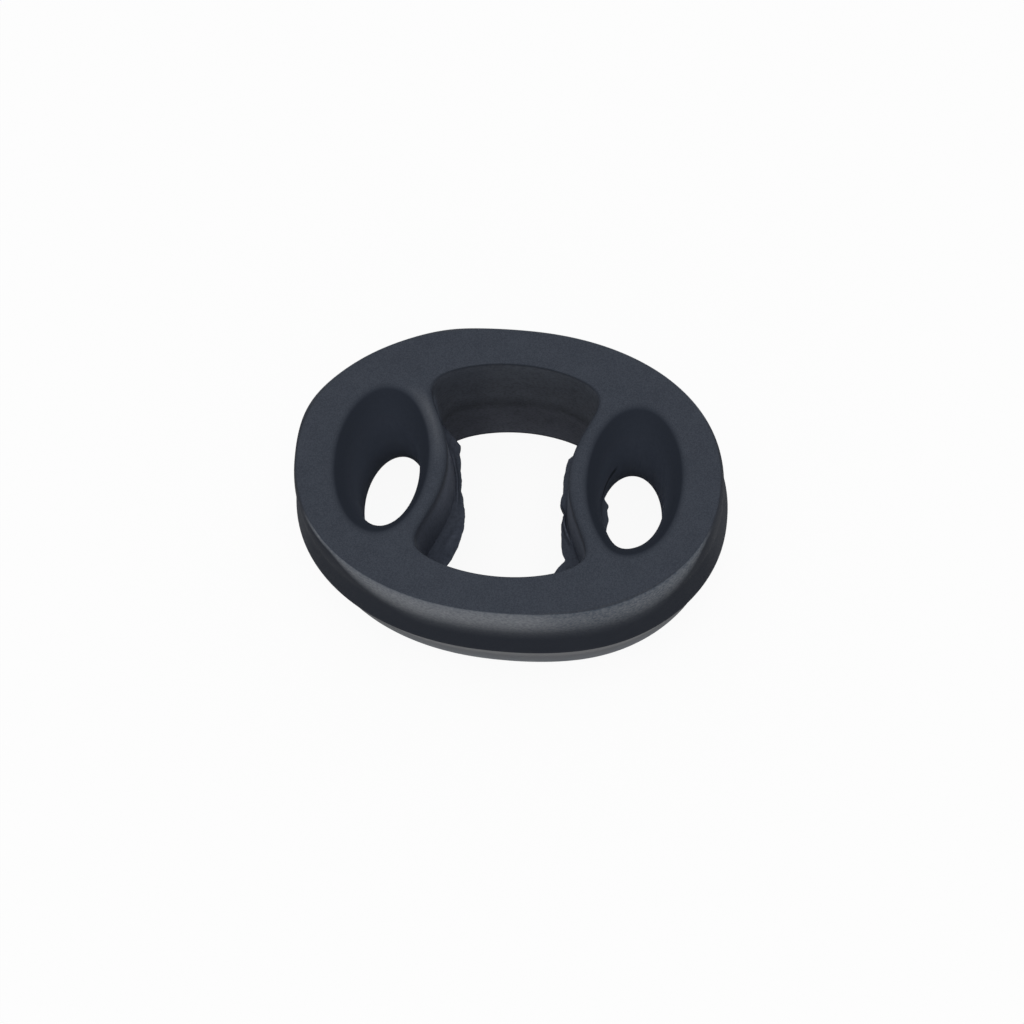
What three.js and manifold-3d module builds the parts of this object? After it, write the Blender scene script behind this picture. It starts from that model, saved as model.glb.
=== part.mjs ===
// Exhaust hanger: one moulded block of rubber with an eye near each end and a window between them.
// Millimetres, +Z up. It lies flat, with the origin under its middle, on the surface it rests on.
import * as THREE from 'three';
import { mergeVertices } from 'three/addons/utils/BufferGeometryUtils.js';
import Module from 'manifold-3d';

// Block: the flat oval faces, and the side wall that swells from them to the parting line
const faceLength = 70;
const faceWidth = 48.7;
const faceSquareness = 2.15; // 2 is a plain ellipse, more is fuller at the corners
const thickness = 36.4;
const shoulderOut = 1.2; // how far the round shoulder stands out past the face
const shoulderDrop = 9.1; // how far below the face the shoulder ends
const wallSwellWidth = 1.45; // what the straight wall gains from the shoulder down to the parting line

// Eyes: waisted oval holes, narrowest at the parting line and flared towards both faces
const eyePitch = 42.1;
const eyeNeckWidth = 10.8;
const eyeNeckDepth = 18.3;
const eyeMouthWidth = 15.9;
const eyeMouthDepth = 25.3;
const eyeFlare = 3.7; // a high power keeps the flare close to the faces
const eyeEdgeRadius = 1.2;

// Window: bowed sides that follow the eyes, and ends that follow the block's outside
const rimWall = 5.95; // face width left between the window's end and the block's outside
const webWidth = 2.7; // between the window's side and the eye's mouth
const windowSideRadius = 15.6;
const windowEndRadius = 33.7;
const windowSquareness = 5; // rounds the window's corners, more is sharper
const windowPinchWidth = 0.35; // how much the window closes in at the parting line, each side
const webEdgeRadius = 1.2;

// Flash: the thin lip left along the window's sides at the parting line, trimmed straight
const flashGap = 18.1; // clear width between the two lips
const flashThickness = 0.6; // at the trimmed edge, twice that at the root

// Facets
const blockSides = 96;
const eyeSides = 48;
const windowSides = 84;
const shoulderSteps = 6;
const edgeSteps = 3;
const cutOvershoot = 1; // how far a cutting shape runs past the faces
const reachTolerance = 0.0001; // how closely the window's outline is found

const halfThickness = thickness / 2;
const eyeX = eyePitch / 2;
const rubber = new THREE.MeshStandardMaterial({ color: 0x3a3f47, roughness: 0.7, metalness: 0 });

const wasm = await Module();
wasm.setup();

// Depth below the nearer face, 0 on a face or outside the block
const depthAt = (z) => Math.max(halfThickness - Math.abs(z), 0);

// Bow of a shallow curve of the given radius, at a distance from its middle
const bow = (distance, radius) => distance ** 2 / (2 * radius);

// Extra reach of a hole whose rim is rounded to the radius, at a depth below the face
function rimRound(depth, radius) {
  const below = Math.min(depth, radius);
  return radius - Math.sqrt(radius ** 2 - (radius - below) ** 2);
}

// Distance from the centre to an oval's outline, in the direction of the angle
function ovalReach(angle, halfX, halfY, squareness) {
  const x = Math.abs(Math.cos(angle)) / halfX;
  const y = Math.abs(Math.sin(angle)) / halfY;
  return (x ** squareness + y ** squareness) ** (-1 / squareness);
}

// Closed solid about Z: a lathe through the levels, each ring then drawn out to its own outline
function ringSolid(levels, sides, reach) {
  const ends = [new THREE.Vector2(0, levels[0]), new THREE.Vector2(0, levels.at(-1))];
  const profile = [ends[0], ...levels.map((z) => new THREE.Vector2(1, z)), ends[1]];
  const geometry = new THREE.LatheGeometry(profile, sides).rotateX(Math.PI / 2);
  const position = geometry.attributes.position;
  for (let i = 0; i < position.count; i++) {
    const x = position.getX(i);
    const y = position.getY(i);
    if (Math.hypot(x, y) < 0.5) continue; // on the axis
    const angle = Math.atan2(y, x);
    const radius = reach(angle, position.getZ(i));
    position.setXY(i, radius * Math.cos(angle), radius * Math.sin(angle));
  }
  return geometry;
}

// Levels on both sides of the parting line, from the depths of one half
function mirroredLevels(depths, past = 0) {
  const upper = depths.map((depth) => halfThickness - depth).sort((a, b) => a - b);
  const lower = upper.map((z) => -z).reverse();
  const ends = past > 0 ? [halfThickness + past] : [];
  return [...ends.map((z) => -z), ...lower, 0, ...upper, ...ends];
}

// Evenly turned steps round a rounded edge, as depths from 0 to the edge's radius
function edgeDepths(radius) {
  const turn = (i) => (i / edgeSteps) * (Math.PI / 2);
  return Array.from({ length: edgeSteps + 1 }, (_, i) => radius * (1 - Math.cos(turn(i))));
}

// The block without its holes
function block() {
  const swell = (z) => {
    const depth = depthAt(z);
    const turn = 1 - Math.min(depth / shoulderDrop, 1);
    const straight = Math.max(depth - shoulderDrop, 0) / (halfThickness - shoulderDrop);
    return shoulderOut * Math.sqrt(1 - turn ** 2) + wallSwellWidth * straight;
  };
  const steps = Array.from({ length: shoulderSteps + 1 }, (_, i) => (i / shoulderSteps) * (Math.PI / 2));
  const depths = steps.map((turn) => shoulderDrop * (1 - Math.cos(turn)));
  return ringSolid(mirroredLevels(depths), blockSides, (angle, z) =>
    ovalReach(angle, faceLength / 2 + swell(z), faceWidth / 2 + swell(z), faceSquareness));
}

// What is cut out for one eye
function eyeHole(centreX) {
  const flareDepths = [0.38, 0.54, 0.68, 0.8, 0.9].map((share) => halfThickness * (1 - share));
  const half = (neck, mouth, z) => {
    const flare = (1 - depthAt(z) / halfThickness) ** eyeFlare;
    return (neck + (mouth - neck) * flare) / 2 + rimRound(depthAt(z), eyeEdgeRadius);
  };
  const levels = mirroredLevels([...edgeDepths(eyeEdgeRadius), ...flareDepths], cutOvershoot);
  const hole = ringSolid(levels, eyeSides, (angle, z) =>
    ovalReach(angle, half(eyeNeckWidth, eyeMouthWidth, z), half(eyeNeckDepth, eyeMouthDepth, z), 2));
  return hole.translate(centreX, 0, 0);
}

// Distance from the centre to the window's wall. Only its sides, on the webs, have a rounded rim.
function windowReach(angle, z) {
  const halfDepth = faceWidth / 2 - rimWall;
  const halfWaist = eyeX - eyeMouthWidth / 2 - webWidth;
  const pinch = windowPinchWidth * (depthAt(z) / halfThickness);
  const edge = rimRound(depthAt(z), webEdgeRadius);
  const along = Math.abs(Math.cos(angle));
  const across = Math.abs(Math.sin(angle));
  const inRubber = (radius) => {
    const [x, y] = [radius * along, radius * across];
    const end = halfDepth - pinch - bow(x, windowEndRadius);
    const side = halfWaist - pinch + edge + bow(y, windowSideRadius);
    return y >= end || (y / end) ** windowSquareness + (x / side) ** windowSquareness > 1;
  };
  let clear = 0;
  let blocked = halfDepth + halfWaist;
  while (blocked - clear > reachTolerance) {
    const middle = (clear + blocked) / 2;
    if (inRubber(middle)) blocked = middle;
    else clear = middle;
  }
  return clear;
}

// What is cut out for the window, down to the flash
function windowHole() {
  const flashDepths = [flashThickness, flashThickness / 2].map((rise) => halfThickness - rise);
  const levels = mirroredLevels([...edgeDepths(webEdgeRadius), ...flashDepths], cutOvershoot);
  return ringSolid(levels, windowSides, (angle, z) => {
    const atFlash = Math.abs(z) < flashThickness * 0.75;
    const trimmed = atFlash ? flashGap / 2 / Math.abs(Math.cos(angle)) : Infinity;
    return Math.min(windowReach(angle, z), trimmed);
  });
}

// A closed geometry as a solid that can be cut
function solid(geometry) {
  const bare = geometry.clone();
  bare.deleteAttribute('normal');
  bare.deleteAttribute('uv');
  const merged = mergeVertices(bare);
  const vertProperties = new Float32Array(merged.attributes.position.array);
  const triVerts = new Uint32Array(merged.index.array);
  return new wasm.Manifold(new wasm.Mesh({ numProp: 3, vertProperties, triVerts }));
}

// A cut solid as a geometry again
function geometryOf(body) {
  const mesh = body.getMesh();
  const geometry = new THREE.BufferGeometry();
  geometry.setAttribute('position', new THREE.BufferAttribute(new Float32Array(mesh.vertProperties), 3));
  geometry.setIndex(new THREE.BufferAttribute(new Uint32Array(mesh.triVerts), 1));
  geometry.computeVertexNormals();
  return geometry;
}

function hangerBody() {
  const holes = [eyeHole(-eyeX), eyeHole(eyeX), windowHole()];
  const body = holes.reduce((rest, hole) => rest.subtract(solid(hole)), solid(block()));
  const mesh = new THREE.Mesh(geometryOf(body), rubber);
  mesh.name = 'hanger_body';
  mesh.position.z = halfThickness;
  return mesh;
}

const exhaustHanger = new THREE.Group();
exhaustHanger.add(hangerBody());

export default exhaustHanger;
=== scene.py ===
import math

import bpy
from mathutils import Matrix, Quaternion, Vector, noise


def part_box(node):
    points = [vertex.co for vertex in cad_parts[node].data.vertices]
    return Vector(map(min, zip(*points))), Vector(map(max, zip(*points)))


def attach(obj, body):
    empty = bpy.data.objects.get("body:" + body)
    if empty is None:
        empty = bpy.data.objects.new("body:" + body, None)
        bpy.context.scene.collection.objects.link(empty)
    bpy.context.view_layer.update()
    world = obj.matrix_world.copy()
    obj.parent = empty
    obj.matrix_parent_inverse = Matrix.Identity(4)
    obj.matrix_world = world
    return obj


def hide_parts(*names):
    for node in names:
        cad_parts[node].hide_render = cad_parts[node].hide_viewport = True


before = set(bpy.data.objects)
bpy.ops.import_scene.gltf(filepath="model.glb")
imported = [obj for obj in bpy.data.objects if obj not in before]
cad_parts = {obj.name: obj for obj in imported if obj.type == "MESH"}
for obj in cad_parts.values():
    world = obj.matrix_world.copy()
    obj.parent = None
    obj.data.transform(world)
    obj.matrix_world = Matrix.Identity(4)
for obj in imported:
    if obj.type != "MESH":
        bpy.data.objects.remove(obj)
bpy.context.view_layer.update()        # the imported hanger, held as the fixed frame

mm = 0.001
lowCorner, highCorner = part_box("hanger_body")
partingHeight = (lowCorner.z + highCorner.z) / 2
halfThickness = (highCorner.z - lowCorner.z) / 2
mergeDistance = 0.001 * mm    # points closer than this are one
searchStep = 0.0001 * mm      # how closely an outline is found
noiseSlice = 0.37             # where the noise is cut for the uneven edges

print("Camera, floor and lights")

viewpoint = {
    "azimuth": math.radians(12.14),   # from straight in front, towards the right eye
    "elevation": math.radians(73.63),
    "distance": 332.4 * mm,
    "aim": (0.37 * mm, -2.17 * mm),   # where the middle of the picture meets the parting line's height
    "roll": math.radians(-6.77),
    "lens": 67.15,
    "clipStart": 10 * mm,
}


def addCamera(settings):
    across = math.cos(settings["elevation"]) * settings["distance"]
    away = Vector((
        math.sin(settings["azimuth"]) * across,
        -math.cos(settings["azimuth"]) * across,
        math.sin(settings["elevation"]) * settings["distance"],
    ))
    aim = Vector((*settings["aim"], partingHeight))
    bpy.ops.object.camera_add(location=aim + away)
    camera = bpy.context.object
    roll = Quaternion((0, 0, 1), settings["roll"])
    camera.rotation_euler = ((-away).to_track_quat("-Z", "Y") @ roll).to_euler()
    camera.data.lens = settings["lens"]
    camera.data.clip_start = settings["clipStart"]
    bpy.context.scene.camera = camera


class Wire:
    # One output of a shader node. Sums written with it add Math nodes.
    def __init__(self, tree, output=None):
        self.tree = tree
        self.output = output

    def node(self, kind, settings, sockets, result=0):
        made = self.tree.nodes.new(kind)
        for name, value in settings.items():
            setattr(made, name, value)
        for name, value in sockets.items():
            if isinstance(value, Wire):
                self.tree.links.new(value.output, made.inputs[name])
            else:
                made.inputs[name].default_value = value
        return Wire(self.tree, made.outputs[result] if made.outputs else None)

    def sibling(self, result):
        return Wire(self.tree, self.output.node.outputs[result])

    def maths(self, operation, first, second):
        return self.node("ShaderNodeMath", {"operation": operation}, {0: first, 1: second})

    def __add__(self, other):
        return self.maths("ADD", self, other)

    def __radd__(self, other):
        return self.maths("ADD", other, self)

    def __sub__(self, other):
        return self.maths("SUBTRACT", self, other)

    def __rsub__(self, other):
        return self.maths("SUBTRACT", other, self)

    def __mul__(self, other):
        return self.maths("MULTIPLY", self, other)

    def __rmul__(self, other):
        return self.maths("MULTIPLY", other, self)

    def __pow__(self, other):
        return self.maths("POWER", self, other)

    def __abs__(self):
        return self.maths("ABSOLUTE", self, 0)


def newMaterial(name):
    material = bpy.data.materials.new(name)
    material.use_nodes = True
    material.node_tree.nodes.clear()
    return material, Wire(material.node_tree)


def finishMaterial(shader, surface):
    shader.node("ShaderNodeOutputMaterial", {}, {"Surface": surface})


floorLook = {
    "size": 3.0,
    "drop": 0.02 * mm,       # keeps the floor clear of the underside
    "colour": (0.8, 0.8, 0.8, 1),
    "seenWhite": 0.93,       # how much plain white the camera sees, the rest is the lit floor
    "mirroredWhite": 0.1,    # the same for reflections, which keep more of the object's shadow
}


def addFloor(settings):
    place = (0, 0, lowCorner.z - settings["drop"])
    bpy.ops.mesh.primitive_plane_add(size=settings["size"], location=place)
    floor = bpy.context.object
    floor.name = "paleFloor"
    material, shader = newMaterial("paleFloorPaint")
    lit = shader.node("ShaderNodeBsdfDiffuse", {}, {"Color": settings["colour"]})
    white = shader.node("ShaderNodeEmission", {}, {"Color": (1, 1, 1, 1), "Strength": 1})
    seen = shader.node("ShaderNodeLightPath", {}, {}, "Is Camera Ray")
    mirrored = seen.sibling("Is Glossy Ray") + seen.sibling("Is Transmission Ray")
    share = seen * settings["seenWhite"] + mirrored * settings["mirroredWhite"]
    finishMaterial(shader, shader.node("ShaderNodeMixShader", {}, {0: share, 1: lit, 2: white}))
    floor.data.materials.append(material)


studio = {
    "worldGrey": 0.55,
    "keyPower": 3.7,
    "keySize": (0.55, 0.55),
    "keyPlace": (0.0, -0.03, 0.95),
    "frontPower": 0.5,
    "frontSize": (1.4, 0.1),
    "frontPlace": (-0.05, -0.8, 0.2),
}


def addLamp(name, place, size, power):
    bpy.ops.object.light_add(type="AREA", location=place)
    lamp = bpy.context.object
    lamp.name = name
    lamp.data.shape = "RECTANGLE"
    lamp.data.size, lamp.data.size_y = size
    lamp.data.energy = power
    aim = Vector((0, 0, partingHeight)) - Vector(place)
    lamp.rotation_euler = aim.to_track_quat("-Z", "Y").to_euler()


def addLights(settings):
    world = bpy.data.worlds.new("studio")
    bpy.context.scene.world = world
    world.use_nodes = True
    grey = settings["worldGrey"]
    world.node_tree.nodes["Background"].inputs["Color"].default_value = (grey, grey, grey, 1)
    addLamp("keySoftbox", settings["keyPlace"], settings["keySize"], settings["keyPower"])
    addLamp("frontStrip", settings["frontPlace"], settings["frontSize"], settings["frontPower"])


addCamera(viewpoint)
addFloor(floorLook)
addLights(studio)
bpy.context.scene.view_settings.view_transform = "Standard"

print("Hanger: the moulding's walls")

hanger = {
    "squareness": 2.15,          # of the oval: 2 is a plain ellipse, more is fuller at the corners
    "shoulderOut": 1.2 * mm,     # how far the round shoulder stands out past the face
    "shoulderDrop": 9.1 * mm,    # how far below the face the shoulder ends
    "wallSwell": 1.45 * mm,      # what the straight wall gains from there to the parting line
    # Where the outline stands out: turn, how far, and over what turn each way
    "bulges": (
        (math.radians(118), 0.3 * mm, math.radians(13)),
        (math.radians(166), 0.5 * mm, math.radians(10)),
        (math.radians(312), 0.4 * mm, math.radians(22)),
    ),
    "eyeX": 21.05 * mm,
    "eyeNeck": (5.4 * mm, 9.15 * mm),      # half width and half depth at the parting line
    "eyeMouth": (8.15 * mm, 13.0 * mm),    # the same at the face
    "eyeFlare": 3.7,                       # a high power keeps the flare close to the faces
    "eyeNick": (math.radians(259), 0.5 * mm, math.radians(13)),    # in the right eye's front rim
    "eyeEdge": (0.9 * mm, 0.8 * mm),       # how far the eyes' rims round outwards and how deep
    "webEdge": (1.3 * mm, 1.1 * mm),       # the same beside the window
    "endEdge": (0.2 * mm, 0.3 * mm),       # and at the window's front and rear ends
    "rimWall": 5.95 * mm,                  # face left between the window's end and the outside
    "webWidth": 2.7 * mm,                  # face left between the window's side and the eye
    "windowSideRadius": 15.6 * mm,
    "windowEndRadius": 33.7 * mm,
    "windowSquareness": 5.0,               # rounds the window's corners, more is sharper
    "windowPinch": 0.35 * mm,              # how much the window closes in at the parting line
    "blockSides": 256,
    "eyeSides": 128,
    "windowSides": 320,
    "outerSteps": (8, 20),                 # levels up the straight wall and round the shoulder
    "eyeSteps": (16, 7),                   # levels up the hole's wall and round its rim
    "windowSteps": (9, 14),
    "smoothAngle": math.radians(40),
}

# The flash is the thin fin that squeezed out where the mould's halves met
flash = {
    "edgeHalf": 0.13 * mm,      # half its thickness at the torn edge
    "rootHalf": 0.9 * mm,       # half of what its root spreads over
    "rootPower": 4,             # more keeps it thin nearer to the root
    "steps": 12,
    "leastWidth": 0.01 * mm,    # where it is narrower than this there is none
    # The scallops of the torn edge: place along Y, distance from the window's middle, radius
    "leftLobes": (
        (11.5 * mm, 9.4 * mm, 2.5 * mm),
        (8.4 * mm, 9.75 * mm, 5.0 * mm),
        (5.0 * mm, 9.33 * mm, 6.0 * mm),
        (1.6 * mm, 8.85 * mm, 8.0 * mm),
        (-3.4 * mm, 7.75 * mm, 3.6 * mm),
        (-5.0 * mm, 7.67 * mm, 14.0 * mm),
    ),
    "rightLobes": (
        (4.0 * mm, 8.8 * mm, 20.0 * mm),
        (0.4 * mm, 8.6 * mm, 3.5 * mm),
        (-4.0 * mm, 9.1 * mm, 7.0 * mm),
        (-6.6 * mm, 9.35 * mm, 6.0 * mm),
        (-17.0 * mm, 7.4 * mm, 8.0 * mm),
    ),
    "rearTrim": (11.3 * mm, 3.0),    # where it starts to run out at the rear corners, and how fast
    "ragged": 0.09 * mm,
    "raggedSizes": (1.1 * mm, 0.45 * mm),    # of the coarse and the fine tears
    "raggedFine": 0.6,                       # how much the fine ones add
    "raggedShift": 9 * mm,                   # the left edge is torn in its own way
    # Side, start and end along Y, share of the width at each, height, share it spans
    "folds": (
        (-1, 9.0 * mm, -4.5 * mm, 0.3, 0.42, 0.8 * mm, 0.22),
        (-1, -5.5 * mm, -11.5 * mm, 0.8, 0.6, 0.8 * mm, 0.3),
        (1, 0.0 * mm, -7.5 * mm, 0.95, 0.2, 1.4 * mm, 0.22),
    ),
    "foldPower": 0.7,             # less makes a fold's ends blunter
    "curl": 0.3 * mm,
    "curlSize": 2.6 * mm,
    "curlShift": 40 * mm,         # the curls follow another part of the noise than the tears
    "curlRoot": 0.12,             # share of the width in which the curls and folds set in
    "curlWithin": 22 * mm,        # the window's flash lies nearer to the middle than this
    "eyeFin": 1.8 * mm,           # the torn fin in the right eye, on the side of the window
    "eyeFinTurn": (196, 34),      # its middle and how far it goes each way, in degrees
    "eyeFinPower": 4,             # more ends it more steeply
    "eyeFinShare": (0.75, 0.4),   # how much of its width is left, and how much that wanders
    "eyeFinTear": 17,             # degrees from one tear to the next
}


def rimRound(depth, edge):
    # How far a hole's rim has opened at a depth below the face
    out, deep = edge
    below = 1 - min(depth / deep, 1)
    return out * (1 - math.sqrt(1 - below ** 2))


def swelling(angle, turn, out, reach):
    # A soft swelling of an outline round one turn
    away = (angle - turn + math.pi) % (2 * math.pi) - math.pi
    return out * math.exp(-(away / reach) ** 2)


def ovalReach(angle, halfX, halfY, squareness):
    x = abs(math.cos(angle)) / halfX
    y = abs(math.sin(angle)) / halfY
    return (x ** squareness + y ** squareness) ** (-1 / squareness)


def findEdge(far, isClear):
    # Distance at which an outline is met, going out from the middle
    clear, blocked = 0.0, far
    while blocked - clear > searchStep:
        middle = (clear + blocked) / 2
        if isClear(middle):
            clear = middle
        else:
            blocked = middle
    return clear


def blockReach(angle, height):
    depth = halfThickness - height
    drop = hanger["shoulderDrop"]
    turn = 1 - min(depth / drop, 1)
    straight = max(depth - drop, 0) / (halfThickness - drop)
    swell = hanger["shoulderOut"] * math.sqrt(1 - turn ** 2) + hanger["wallSwell"] * straight
    swell -= hanger["shoulderOut"] + hanger["wallSwell"]  # the frame's box is at the parting line
    swell += sum(swelling(angle, *bulge) for bulge in hanger["bulges"])
    return ovalReach(angle, highCorner.x + swell, highCorner.y + swell, hanger["squareness"])


def eyeReach(angle, height):
    # One eye's outline about its own axis
    flare = (height / halfThickness) ** hanger["eyeFlare"]
    edge = rimRound(halfThickness - height, hanger["eyeEdge"])
    sizes = zip(hanger["eyeNeck"], hanger["eyeMouth"])
    halfX, halfY = [neck + (mouth - neck) * flare + edge for neck, mouth in sizes]
    return ovalReach(angle, halfX, halfY, 2)


def rightEyeReach(angle, height):
    return eyeReach(angle, height) + swelling(angle, *hanger["eyeNick"])


def windowReach(angle, height):
    depth = halfThickness - height
    swell = hanger["shoulderOut"] + hanger["wallSwell"]
    halfDepth = highCorner.y - swell - hanger["rimWall"]
    halfWaist = hanger["eyeX"] - hanger["eyeMouth"][0] - hanger["webWidth"]
    pinch = hanger["windowPinch"] * depth / halfThickness
    along = abs(math.cos(angle))
    across = abs(math.sin(angle))
    endHalf = halfDepth - pinch + rimRound(depth, hanger["endEdge"])
    sideHalf = halfWaist - pinch + rimRound(depth, hanger["webEdge"])
    power = hanger["windowSquareness"]

    def isClear(reach):
        x, y = reach * along, reach * across
        end = endHalf - x ** 2 / (2 * hanger["windowEndRadius"])
        side = sideHalf + y ** 2 / (2 * hanger["windowSideRadius"])
        return y < end and (y / end) ** power + (x / side) ** power <= 1

    return findEdge(halfDepth + halfWaist, isClear)


def unevenness(x, y, size):
    # The same slow wander on each run, from -1 to 1
    return noise.noise(Vector((x / size, y / size, noiseSlice)))


def tornSide(left, y):
    # Distance from the window's middle to the torn edge
    lobes = flash["leftLobes"] if left else flash["rightLobes"]
    scallops = [reach + (y - place) ** 2 / (2 * radius) for place, reach, radius in lobes]
    coarse, fine = flash["raggedSizes"]
    wander = unevenness(flash["raggedShift"] if left else 0, y, coarse)
    wander += flash["raggedFine"] * unevenness(0, y, fine)
    trimFrom, trimSlope = flash["rearTrim"]
    return min(scallops) + max(0, y - trimFrom) * trimSlope + flash["ragged"] * wander


def tornWindow(angle, wall):
    # Where the flash ends on the window's sides
    along, across = math.cos(angle), math.sin(angle)

    def isClear(reach):
        return reach * abs(along) < tornSide(along < 0, reach * across)

    if wall * abs(along) <= tornSide(along < 0, wall * across):
        return wall
    return findEdge(wall, isClear)


def tornEye(angle, wall):
    # Where the flash ends in the right eye, on the side of the window
    turn = math.degrees(angle) % 360
    middle, reach = flash["eyeFinTurn"]
    mean, wander = flash["eyeFinShare"]
    strength = math.exp(-(abs(turn - middle) / reach) ** flash["eyeFinPower"])
    ripple = mean + wander * unevenness(0, turn, flash["eyeFinTear"])
    return wall - flash["eyeFin"] * strength * ripple


def untorn(angle, wall):
    return wall


def finRings():
    # Height and share of the flash's width, from the torn edge in to its root
    rings = [(0.0, 1.0)]
    spreadHalf = flash["rootHalf"] - 2 * flash["edgeHalf"]
    for step in range(flash["steps"] + 1):
        share = 1 - step / flash["steps"]
        root = (1 - share) ** flash["rootPower"]
        rings.append((flash["edgeHalf"] * (2 - share) + spreadHalf * root, share))
    return rings


def edgeHeights(radius, steps):
    # Levels round an edge, evenly turned, up to the face
    turns = [math.radians(90 * step / steps) for step in range(steps, -1, -1)]
    return [halfThickness - radius * (1 - math.cos(turn)) for turn in turns]


def spread(low, high, steps):
    return [low + (high - low) * step / steps for step in range(steps)]


def selectOnly(*pieces):
    bpy.ops.object.select_all(action="DESELECT")
    for piece in pieces:
        piece.select_set(True)
    bpy.context.view_layer.objects.active = pieces[0]


def addWall(sides, heights):
    # A ring of the upper half's wall, extruded level by level from the parting line to the face
    bpy.ops.object.select_all(action="DESELECT")
    bpy.ops.mesh.primitive_circle_add(vertices=sides, radius=1, location=(0, 0, 0))
    wall = bpy.context.object
    bpy.ops.object.mode_set(mode="EDIT")
    bpy.ops.mesh.select_all(action="SELECT")
    for lower, upper in zip(heights, heights[1:]):
        bpy.ops.mesh.extrude_region_move(TRANSFORM_OT_translate={"value": (0, 0, upper - lower)})
    bpy.ops.object.mode_set(mode="OBJECT")
    return wall


def shapeWall(wall, heights, reach, centreX=0.0):
    # Draws each level out to its own outline. The levels lie one after another in the mesh.
    sides = len(wall.data.vertices) // len(heights)
    for vertex in wall.data.vertices:
        level = vertex.index // sides
        angle = math.atan2(vertex.co.y, vertex.co.x)
        radius = reach(angle, level)
        vertex.co = (centreX + radius * math.cos(angle), radius * math.sin(angle), heights[level])


def outerWall():
    drop = hanger["shoulderDrop"]
    wallSteps, shoulderSteps = hanger["outerSteps"]
    heights = spread(0, halfThickness - drop, wallSteps) + edgeHeights(drop, shoulderSteps)
    wall = addWall(hanger["blockSides"], heights)
    shapeWall(wall, heights, lambda angle, level: blockReach(angle, heights[level]))
    return wall


def holeWall(sides, upperHeights, reach, torn, centreX=0.0):
    fin = finRings()
    heights = [height for height, share in fin] + upperHeights
    wall = addWall(sides, heights)

    def finReach(angle, level):
        full = reach(angle, heights[level])
        share = fin[level][1] if level < len(fin) else 0
        return full - share * (full - torn(angle, full))

    shapeWall(wall, heights, finReach, centreX)
    return wall


def wallHeights(deep, wallSteps, edgeSteps):
    # Levels of a hole's wall above the flash's root
    straight = spread(flash["rootHalf"], halfThickness - deep, wallSteps)[1:]
    return straight + edgeHeights(deep, edgeSteps)


def mouldHanger():
    eyeX = hanger["eyeX"]
    eyeHeights = wallHeights(hanger["eyeEdge"][1], *hanger["eyeSteps"])
    windowHeights = wallHeights(hanger["webEdge"][1], *hanger["windowSteps"])
    walls = [
        outerWall(),
        holeWall(hanger["eyeSides"], eyeHeights, eyeReach, untorn, -eyeX),
        holeWall(hanger["eyeSides"], eyeHeights, rightEyeReach, tornEye, eyeX),
        holeWall(hanger["windowSides"], windowHeights, windowReach, tornWindow),
    ]
    selectOnly(*walls)
    bpy.ops.object.join()
    return bpy.context.object


def fillFace(piece):
    # The flat oval face, filled between the block's edge and the three holes
    selectOnly(piece)
    bpy.ops.object.mode_set(mode="EDIT")
    bpy.ops.mesh.select_all(action="DESELECT")
    bpy.ops.object.mode_set(mode="OBJECT")
    for edge in piece.data.edges:
        ends = [piece.data.vertices[index].co.z for index in edge.vertices]
        edge.select = min(ends) > halfThickness - mergeDistance
    bpy.ops.object.mode_set(mode="EDIT")
    bpy.ops.mesh.select_mode(type="EDGE")
    bpy.ops.mesh.fill(use_beauty=True)
    bpy.ops.object.mode_set(mode="OBJECT")


def mirrorHalves(piece):
    mirror = piece.modifiers.new("lowerHalf", "MIRROR")
    mirror.use_axis = (False, False, True)
    mirror.merge_threshold = mergeDistance
    bpy.ops.object.modifier_apply(modifier=mirror.name)


def windowFlashShare(point):
    # 1 on the flash's torn edge and 0 at its root, for a point near the parting line
    angle = math.atan2(point.y, point.x)
    wall = windowReach(angle, 0)
    width = wall - tornWindow(angle, wall)
    reach = math.hypot(point.x, point.y)
    if reach > wall or width < flash["leastWidth"]:
        return 0.0
    return min(1.0, (wall - reach) / width)


def foldRise(point, share):
    rise = 0.0
    for side, start, end, startShare, endShare, height, span in flash["folds"]:
        way = (point.y - start) / (end - start)
        if side * point.x < 0 or not 0 < way < 1:
            continue
        away = (share - startShare - (endShare - startShare) * way) / span
        rise += height * math.sin(math.pi * way) ** flash["foldPower"] * math.exp(-away ** 2)
    return rise


def curlFlash(piece):
    # The flash is folded, and curled up and down, where it squeezed out
    for vertex in piece.data.vertices:
        point = vertex.co
        if abs(point.z) > flash["rootHalf"] or math.hypot(point.x, point.y) > flash["curlWithin"]:
            continue
        share = windowFlashShare(point)
        rooted = min(share / flash["curlRoot"], 1)
        wander = unevenness(point.x + flash["curlShift"], point.y, flash["curlSize"])
        point.z += rooted * (flash["curl"] * share * wander + foldRise(point, share))


def closeHanger(piece):
    bpy.ops.object.mode_set(mode="EDIT")
    bpy.ops.mesh.select_all(action="SELECT")
    bpy.ops.mesh.remove_doubles(threshold=mergeDistance)
    bpy.ops.mesh.normals_make_consistent(inside=False)
    bpy.ops.transform.translate(value=(0, 0, partingHeight))
    bpy.ops.object.mode_set(mode="OBJECT")
    bpy.ops.object.shade_smooth_by_angle(angle=hanger["smoothAngle"])
    even = piece.modifiers.new("evenNormals", "WEIGHTED_NORMAL")
    even.keep_sharp = True
    bpy.ops.object.modifier_apply(modifier=even.name)


hangerRubber = mouldHanger()
hangerRubber.name = "hangerRubber"
hangerRubber.data.name = "hangerRubber"

print("Hanger: the faces, the lower half and the flash")
fillFace(hangerRubber)
mirrorHalves(hangerRubber)
curlFlash(hangerRubber)
closeHanger(hangerRubber)

print("Hanger: the rubber")

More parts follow.
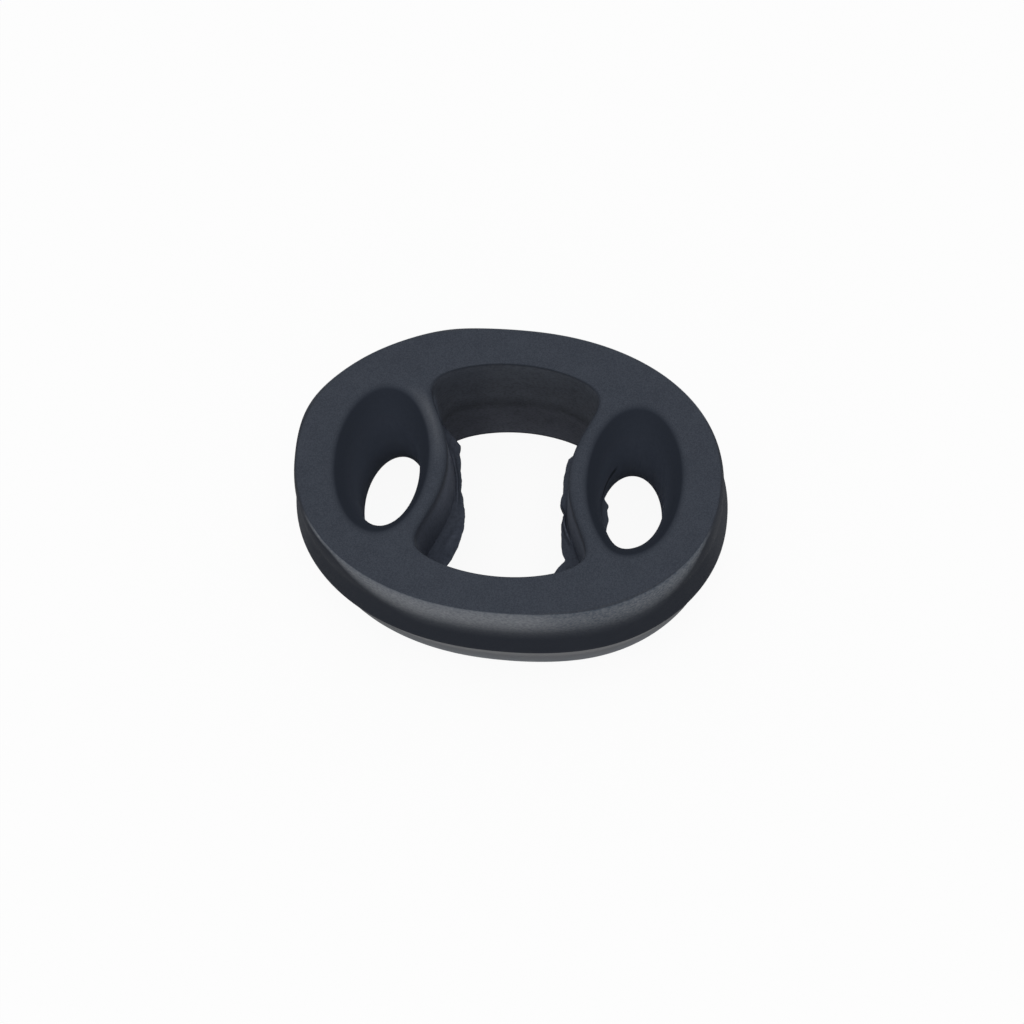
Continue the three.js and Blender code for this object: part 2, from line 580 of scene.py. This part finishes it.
# In a pair a change starts at the first value and is complete at the second. A third is its strength.
rubberLook = {
    "faceColour": (0.0352, 0.041, 0.0538, 1),
    "bloomColour": (0.051, 0.0587, 0.0747, 1),       # where the mould left a faint bloom
    "bloomMottle": 0.2,                              # share of the mottle in it, the rest is grain
    "bloom": (0.36, 0.64),
    "faceEnd": (1.004, 1.02),                        # where the outer wall starts, 1 is the face's edge
    "wallShadeColour": (0.0175, 0.021, 0.0295, 1),        # painted shade: the outer wall is blacker along the front and rear
    "endShadeColour": (0.032, 0.036, 0.046, 1),           # and has less painted shade round the two ends
    # The shoulder is rubbed to a satin gloss along the front and the rear, and carries a painted highlight
    # there, lighter and bluer
    "crestHighlightColour": (0.05, 0.063, 0.085, 1),
    "crestAlong": (7.5 * mm, 12.5 * mm),
    "crestLean": 0.05,
    "crestStart": (-0.1 * mm, 0.25 * mm),
    "crestFade": 0.1 * mm,                           # the depth at which it starts to fade
    "crestDepth": (1.4 * mm, 12.7 * mm),             # where it has faded, by the ends and in the middle
    "crestWiden": (12.6 * mm, 23.6 * mm),
    "crestTilt": 0.12,                               # the right widens sooner than the left
    "crestWear": 0.92,
    "crestSpeckle": 1.6,
    "crestSparedRight": (4 * mm, 15 * mm, 0.42),
    "crestSparedLeft": (12 * mm, 24 * mm, 0.2),
    # The lower half's wall is glossier than the upper half's, above all in front
    "lipGloss": 0.66,
    "lipTop": (-0.3 * mm, 0.1 * mm),
    "lipRear": (-15 * mm, -7 * mm, 0.75),
    # The eyes are painted with shade, black under their rims, and painted with light deeper down
    "eyeRimShadeColour": (0.0275, 0.0332, 0.046, 1),
    "eyeDeepLitColour": (0.176, 0.207, 0.278, 1),
    "eyeRim": (0.0 * mm, 0.9 * mm),
    "eyeDeep": (0.5 * mm, 18.2 * mm),
    "eyeLowLight": 0.3,                               # painted light: keeps more of it below the parting line
    "eyeOutwards": (11.6 * mm, 11.9 * mm),           # where a web is split between window and eye
    "webBow": 31,                                    # a web bows outwards by this times Y squared
    # The window's ends are painted lighter than the rubber, with painted light that grows deeper down,
    # blotches, a darker left rear corner of painted shade and a dark band of painted shade at the parting
    # line
    "windowRimLitColour": (0.091, 0.102, 0.124, 1),
    "windowDeepLitColour": (0.148, 0.162, 0.194, 1),
    "windowLowLitColour": (0.158, 0.169, 0.207, 1),     # painted light, warmer below the parting line
    "windowRim": (0.2 * mm, 1.2 * mm),
    "windowDeep": (2 * mm, 16 * mm),
    "windowLow": (0 * mm, 3 * mm),
    "windowBlotches": (0.35, 0.8, 0.22),
    "windowSpecks": (0.42, 0.66, 0.25),
    # Painted shade for the window's left rear corner and the webs' left front pocket
    "cornerShadeColour": (0.05, 0.06, 0.085, 1),
    "cornerLeft": (3 * mm, 10 * mm, 0.3),
    "cornerRear": (0 * mm, 5 * mm),
    # Dark for the random blotches and specks, and painted shade along the parting line
    "darkSpotAndSeamShadeColour": (0.02, 0.022, 0.028, 1),
    "seam": (0 * mm, 4 * mm),
    "seamWander": 5 * mm,
    "seamStrength": 0.24,
    # The window's sides carry the most painted light
    "webLitColour": (0.155, 0.175, 0.226, 1),
    "webEnd": (12.5 * mm, 14 * mm),
    "webRim": (0.3 * mm, 6 * mm),
    "pocketFront": (3 * mm, 11 * mm, 0.45),          # painted shade: in front on the left they are darker
    "pocketLeft": (0 * mm, 2 * mm),
    # Painted light on the flash, less than on the walls beside it, as its upper side catches the lamps
    "flashLitColour": (0.066, 0.076, 0.1, 1),
    "flashRise": (0.7 * mm, 1.5 * mm),
    "eyeFinX": 18.2 * mm,                            # the right eye's fin ends here
    "eyeFinFade": 0.8 * mm,
    "eyeFinSide": (0 * mm, 1 * mm),
    # A faint gloss on the left web's rounded top, towards the rear
    "ridgeGloss": 0.27,
    "ridgeOutwards": 11.8 * mm,
    "ridgeHalf": (0.8 * mm, 1.8 * mm),
    "ridgeDepth": (0.5 * mm, 1.6 * mm),
    "ridgeFront": (-2 * mm, 11 * mm),
    "ridgeRear": (8 * mm, 14 * mm),
    "ridgeLeft": (1 * mm, -1 * mm),
    "roughness": 0.72,
    "roughnessWander": 0.06,
    "specular": 0.04,
    "refraction": 1.5,
    "glossRoughness": 0.45,
    "glossRefraction": 1.9,
    "grainSize": 0.19 * mm,
    "grainDepth": 0.02 * mm,
    "speckleSize": 0.5 * mm,
    "mottleSize": 4 * mm,
}


def ramp(shader, value, low, high, most=1.0):
    # 0 below the low value and the most above the high one, with a soft change between them
    return shader.node("ShaderNodeMapRange", {"interpolation_type": "SMOOTHSTEP"}, {
        "Value": value, "From Min": low, "From Max": high, "To Max": most,
    })


def blend(shader, share, first, second):
    return shader.node("ShaderNodeMix", {"data_type": "RGBA"}, {0: share, 6: first, 7: second}, 2)


def speckled(shader, place, size, detail):
    return shader.node("ShaderNodeTexNoise", {}, {
        "Vector": place, "Scale": 1 / size, "Detail": detail, "Roughness": 0.6,
    })


def outerMask(shader, settings, x, y):
    # 0 on the two faces and 1 on the block's outer wall
    swell = hanger["shoulderOut"] + hanger["wallSwell"]
    across = abs(x * (1 / (highCorner.x - swell))) ** hanger["squareness"]
    along = abs(y * (1 / (highCorner.y - swell))) ** hanger["squareness"]
    return ramp(shader, across + along, *settings["faceEnd"])


def eyeColour(shader, settings, faces, thin, x, rise, depth):
    # An eye's wall from its rim down, with painted shade under the rim and painted light deeper down, and
    # the fin in the right eye
    low = shader.maths("MAXIMUM", -1 * rise, 0) * settings["eyeLowLight"]
    deep = ramp(shader, depth + low, *settings["eyeDeep"])
    wall = blend(shader, deep, settings["eyeRimShadeColour"], settings["eyeDeepLitColour"])
    wall = blend(shader, ramp(shader, depth, *settings["eyeRim"]), faces, wall)
    inner = ramp(shader, settings["eyeFinX"] - x, 0, settings["eyeFinFade"])
    right = ramp(shader, x, *settings["eyeFinSide"])
    return blend(shader, thin * inner * right, wall, settings["flashLitColour"])


def windowEndColour(shader, settings, x, y, rise, depth, mottle):
    # Painted light on the window's ends, growing deeper down and below the parting line
    deep = ramp(shader, depth, *settings["windowDeep"])
    colour = blend(shader, deep, settings["windowRimLitColour"], settings["windowDeepLitColour"])
    low = ramp(shader, -1 * rise, *settings["windowLow"])
    colour = blend(shader, low, colour, settings["windowLowLitColour"])
    colour = blend(shader, ramp(shader, mottle, *settings["windowBlotches"]), colour, settings["darkSpotAndSeamShadeColour"])
    # Painted shade in the left rear corner
    corner = ramp(shader, -1 * x, *settings["cornerLeft"]) * ramp(shader, y, *settings["cornerRear"])
    colour = blend(shader, corner, colour, settings["cornerShadeColour"])
    # Painted shade in a wavy band along the parting line
    wavy = abs(rise + (mottle - 0.5) * settings["seamWander"])
    seam = (1 - ramp(shader, wavy, *settings["seam"])) * settings["seamStrength"]
    return blend(shader, seam, colour, settings["darkSpotAndSeamShadeColour"])


def holeColour(shader, settings, faces, x, y, rise, depth, outwards, mottle, speckle):
    # The walls of the window and of the eyes, from the rim down to the parting line, with painted light and
    # painted shade
    ends = windowEndColour(shader, settings, x, y, rise, depth, mottle)
    web = 1 - ramp(shader, abs(y), *settings["webEnd"])
    # Painted light on the webs' sides, growing from the rim down
    webSide = blend(shader, ramp(shader, depth, *settings["webRim"]), faces, settings["webLitColour"])
    sides = blend(shader, web, ends, webSide)
    # The flash gets less painted light than the walls around it
    thin = web * (1 - ramp(shader, abs(rise), *settings["flashRise"]))
    sides = blend(shader, thin, sides, settings["flashLitColour"])
    # Painted shade in the webs' left front pocket
    pocket = ramp(shader, -1 * y, *settings["pocketFront"]) * ramp(shader, -1 * x, *settings["pocketLeft"])
    sides = blend(shader, web * pocket, sides, settings["cornerShadeColour"])
    sides = blend(shader, ramp(shader, speckle, *settings["windowSpecks"]), sides, settings["darkSpotAndSeamShadeColour"])
    window = blend(shader, ramp(shader, depth, *settings["windowRim"]), faces, sides)
    eye = eyeColour(shader, settings, faces, thin, x, rise, depth)
    return blend(shader, ramp(shader, outwards, *settings["eyeOutwards"]), window, eye)


def crestMask(shader, settings, x, y, depth, along):
    # The rubbed band of the shoulder, wide in the middle of the front and rear, for its gloss and its
    # painted highlight
    widen = ramp(shader, abs(y) + x * settings["crestTilt"], *settings["crestWiden"])
    narrow, wide = settings["crestDepth"]
    faded = ramp(shader, depth, settings["crestFade"], widen * (wide - narrow) + narrow)
    return (1 - faded) * ramp(shader, depth, *settings["crestStart"]) * along


def ridgeMask(shader, settings, x, y, depth, outwards):
    # The top of the left web
    ridge = 1 - ramp(shader, abs(outwards - settings["ridgeOutwards"]), *settings["ridgeHalf"])
    ridge = ridge * (1 - ramp(shader, depth, *settings["ridgeDepth"]))
    ridge = ridge * ramp(shader, y, *settings["ridgeFront"]) * ramp(shader, x, *settings["ridgeLeft"])
    return ridge * (1 - ramp(shader, y, *settings["ridgeRear"]))


def rubberMaterial(settings):
    material, shader = newMaterial("mouldedRubber")
    place = shader.node("ShaderNodeTexCoord", {}, {}, "Object")
    x = shader.node("ShaderNodeSeparateXYZ", {}, {"Vector": place}, "X")
    y = x.sibling("Y")
    rise = x.sibling("Z") - partingHeight
    depth = halfThickness - abs(rise)
    outwards = abs(x) - y * y * settings["webBow"]
    grain = speckled(shader, place, settings["grainSize"], 3)
    mottle = speckled(shader, place, settings["mottleSize"], 4)
    speckle = speckled(shader, place, settings["speckleSize"], 2)

    outer = outerMask(shader, settings, x, y)
    along = ramp(shader, abs(x * settings["crestLean"] - y), *settings["crestAlong"])
    crest = crestMask(shader, settings, x, y, depth, along)
    bloom = mottle * settings["bloomMottle"] + grain * (1 - settings["bloomMottle"])
    bloom = ramp(shader, bloom, *settings["bloom"])
    faces = blend(shader, bloom, settings["faceColour"], settings["bloomColour"])
    holes = holeColour(shader, settings, faces, x, y, rise, depth, outwards, mottle, speckle)
    # Painted shade on the outer wall, darkest along the front and rear
    wall = blend(shader, along, settings["endShadeColour"], settings["wallShadeColour"])
    # A painted highlight, lighter and bluer, along the shoulder's rubbed band
    colour = blend(shader, outer, holes, blend(shader, crest, wall, settings["crestHighlightColour"]))

    spared = ramp(shader, x, *settings["crestSparedRight"])
    spared = spared + ramp(shader, -1 * x, *settings["crestSparedLeft"])
    wear = (speckle - 0.5) * settings["crestSpeckle"] + settings["crestWear"] - spared
    lip = 1 - ramp(shader, rise, *settings["lipTop"])
    lip = outer * lip * (1 - ramp(shader, y, *settings["lipRear"]))
    ridge = (1 - outer) * ridgeMask(shader, settings, x, y, depth, outwards)
    gloss = shader.maths("MAXIMUM", outer * crest * wear, lip * settings["lipGloss"])
    gloss = shader.maths("MAXIMUM", gloss, ridge * settings["ridgeGloss"])
    roughness = settings["roughness"] + (mottle - 0.5) * (settings["roughnessWander"] * 2)
    bump = shader.node("ShaderNodeBump", {}, {
        "Height": grain + speckle, "Distance": settings["grainDepth"], "Strength": 1.0,
    })
    surface = shader.node("ShaderNodeBsdfPrincipled", {}, {
        "Base Color": colour, "Roughness": roughness, "Normal": bump,
        "IOR": settings["refraction"], "Specular IOR Level": settings["specular"],
        "Coat Weight": gloss, "Coat Roughness": settings["glossRoughness"],
        "Coat IOR": settings["glossRefraction"],
    })
    finishMaterial(shader, surface)
    return material


hangerRubber.data.materials.clear()
hangerRubber.data.materials.append(rubberMaterial(rubberLook))
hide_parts("hanger_body")
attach(hangerRubber, "root")
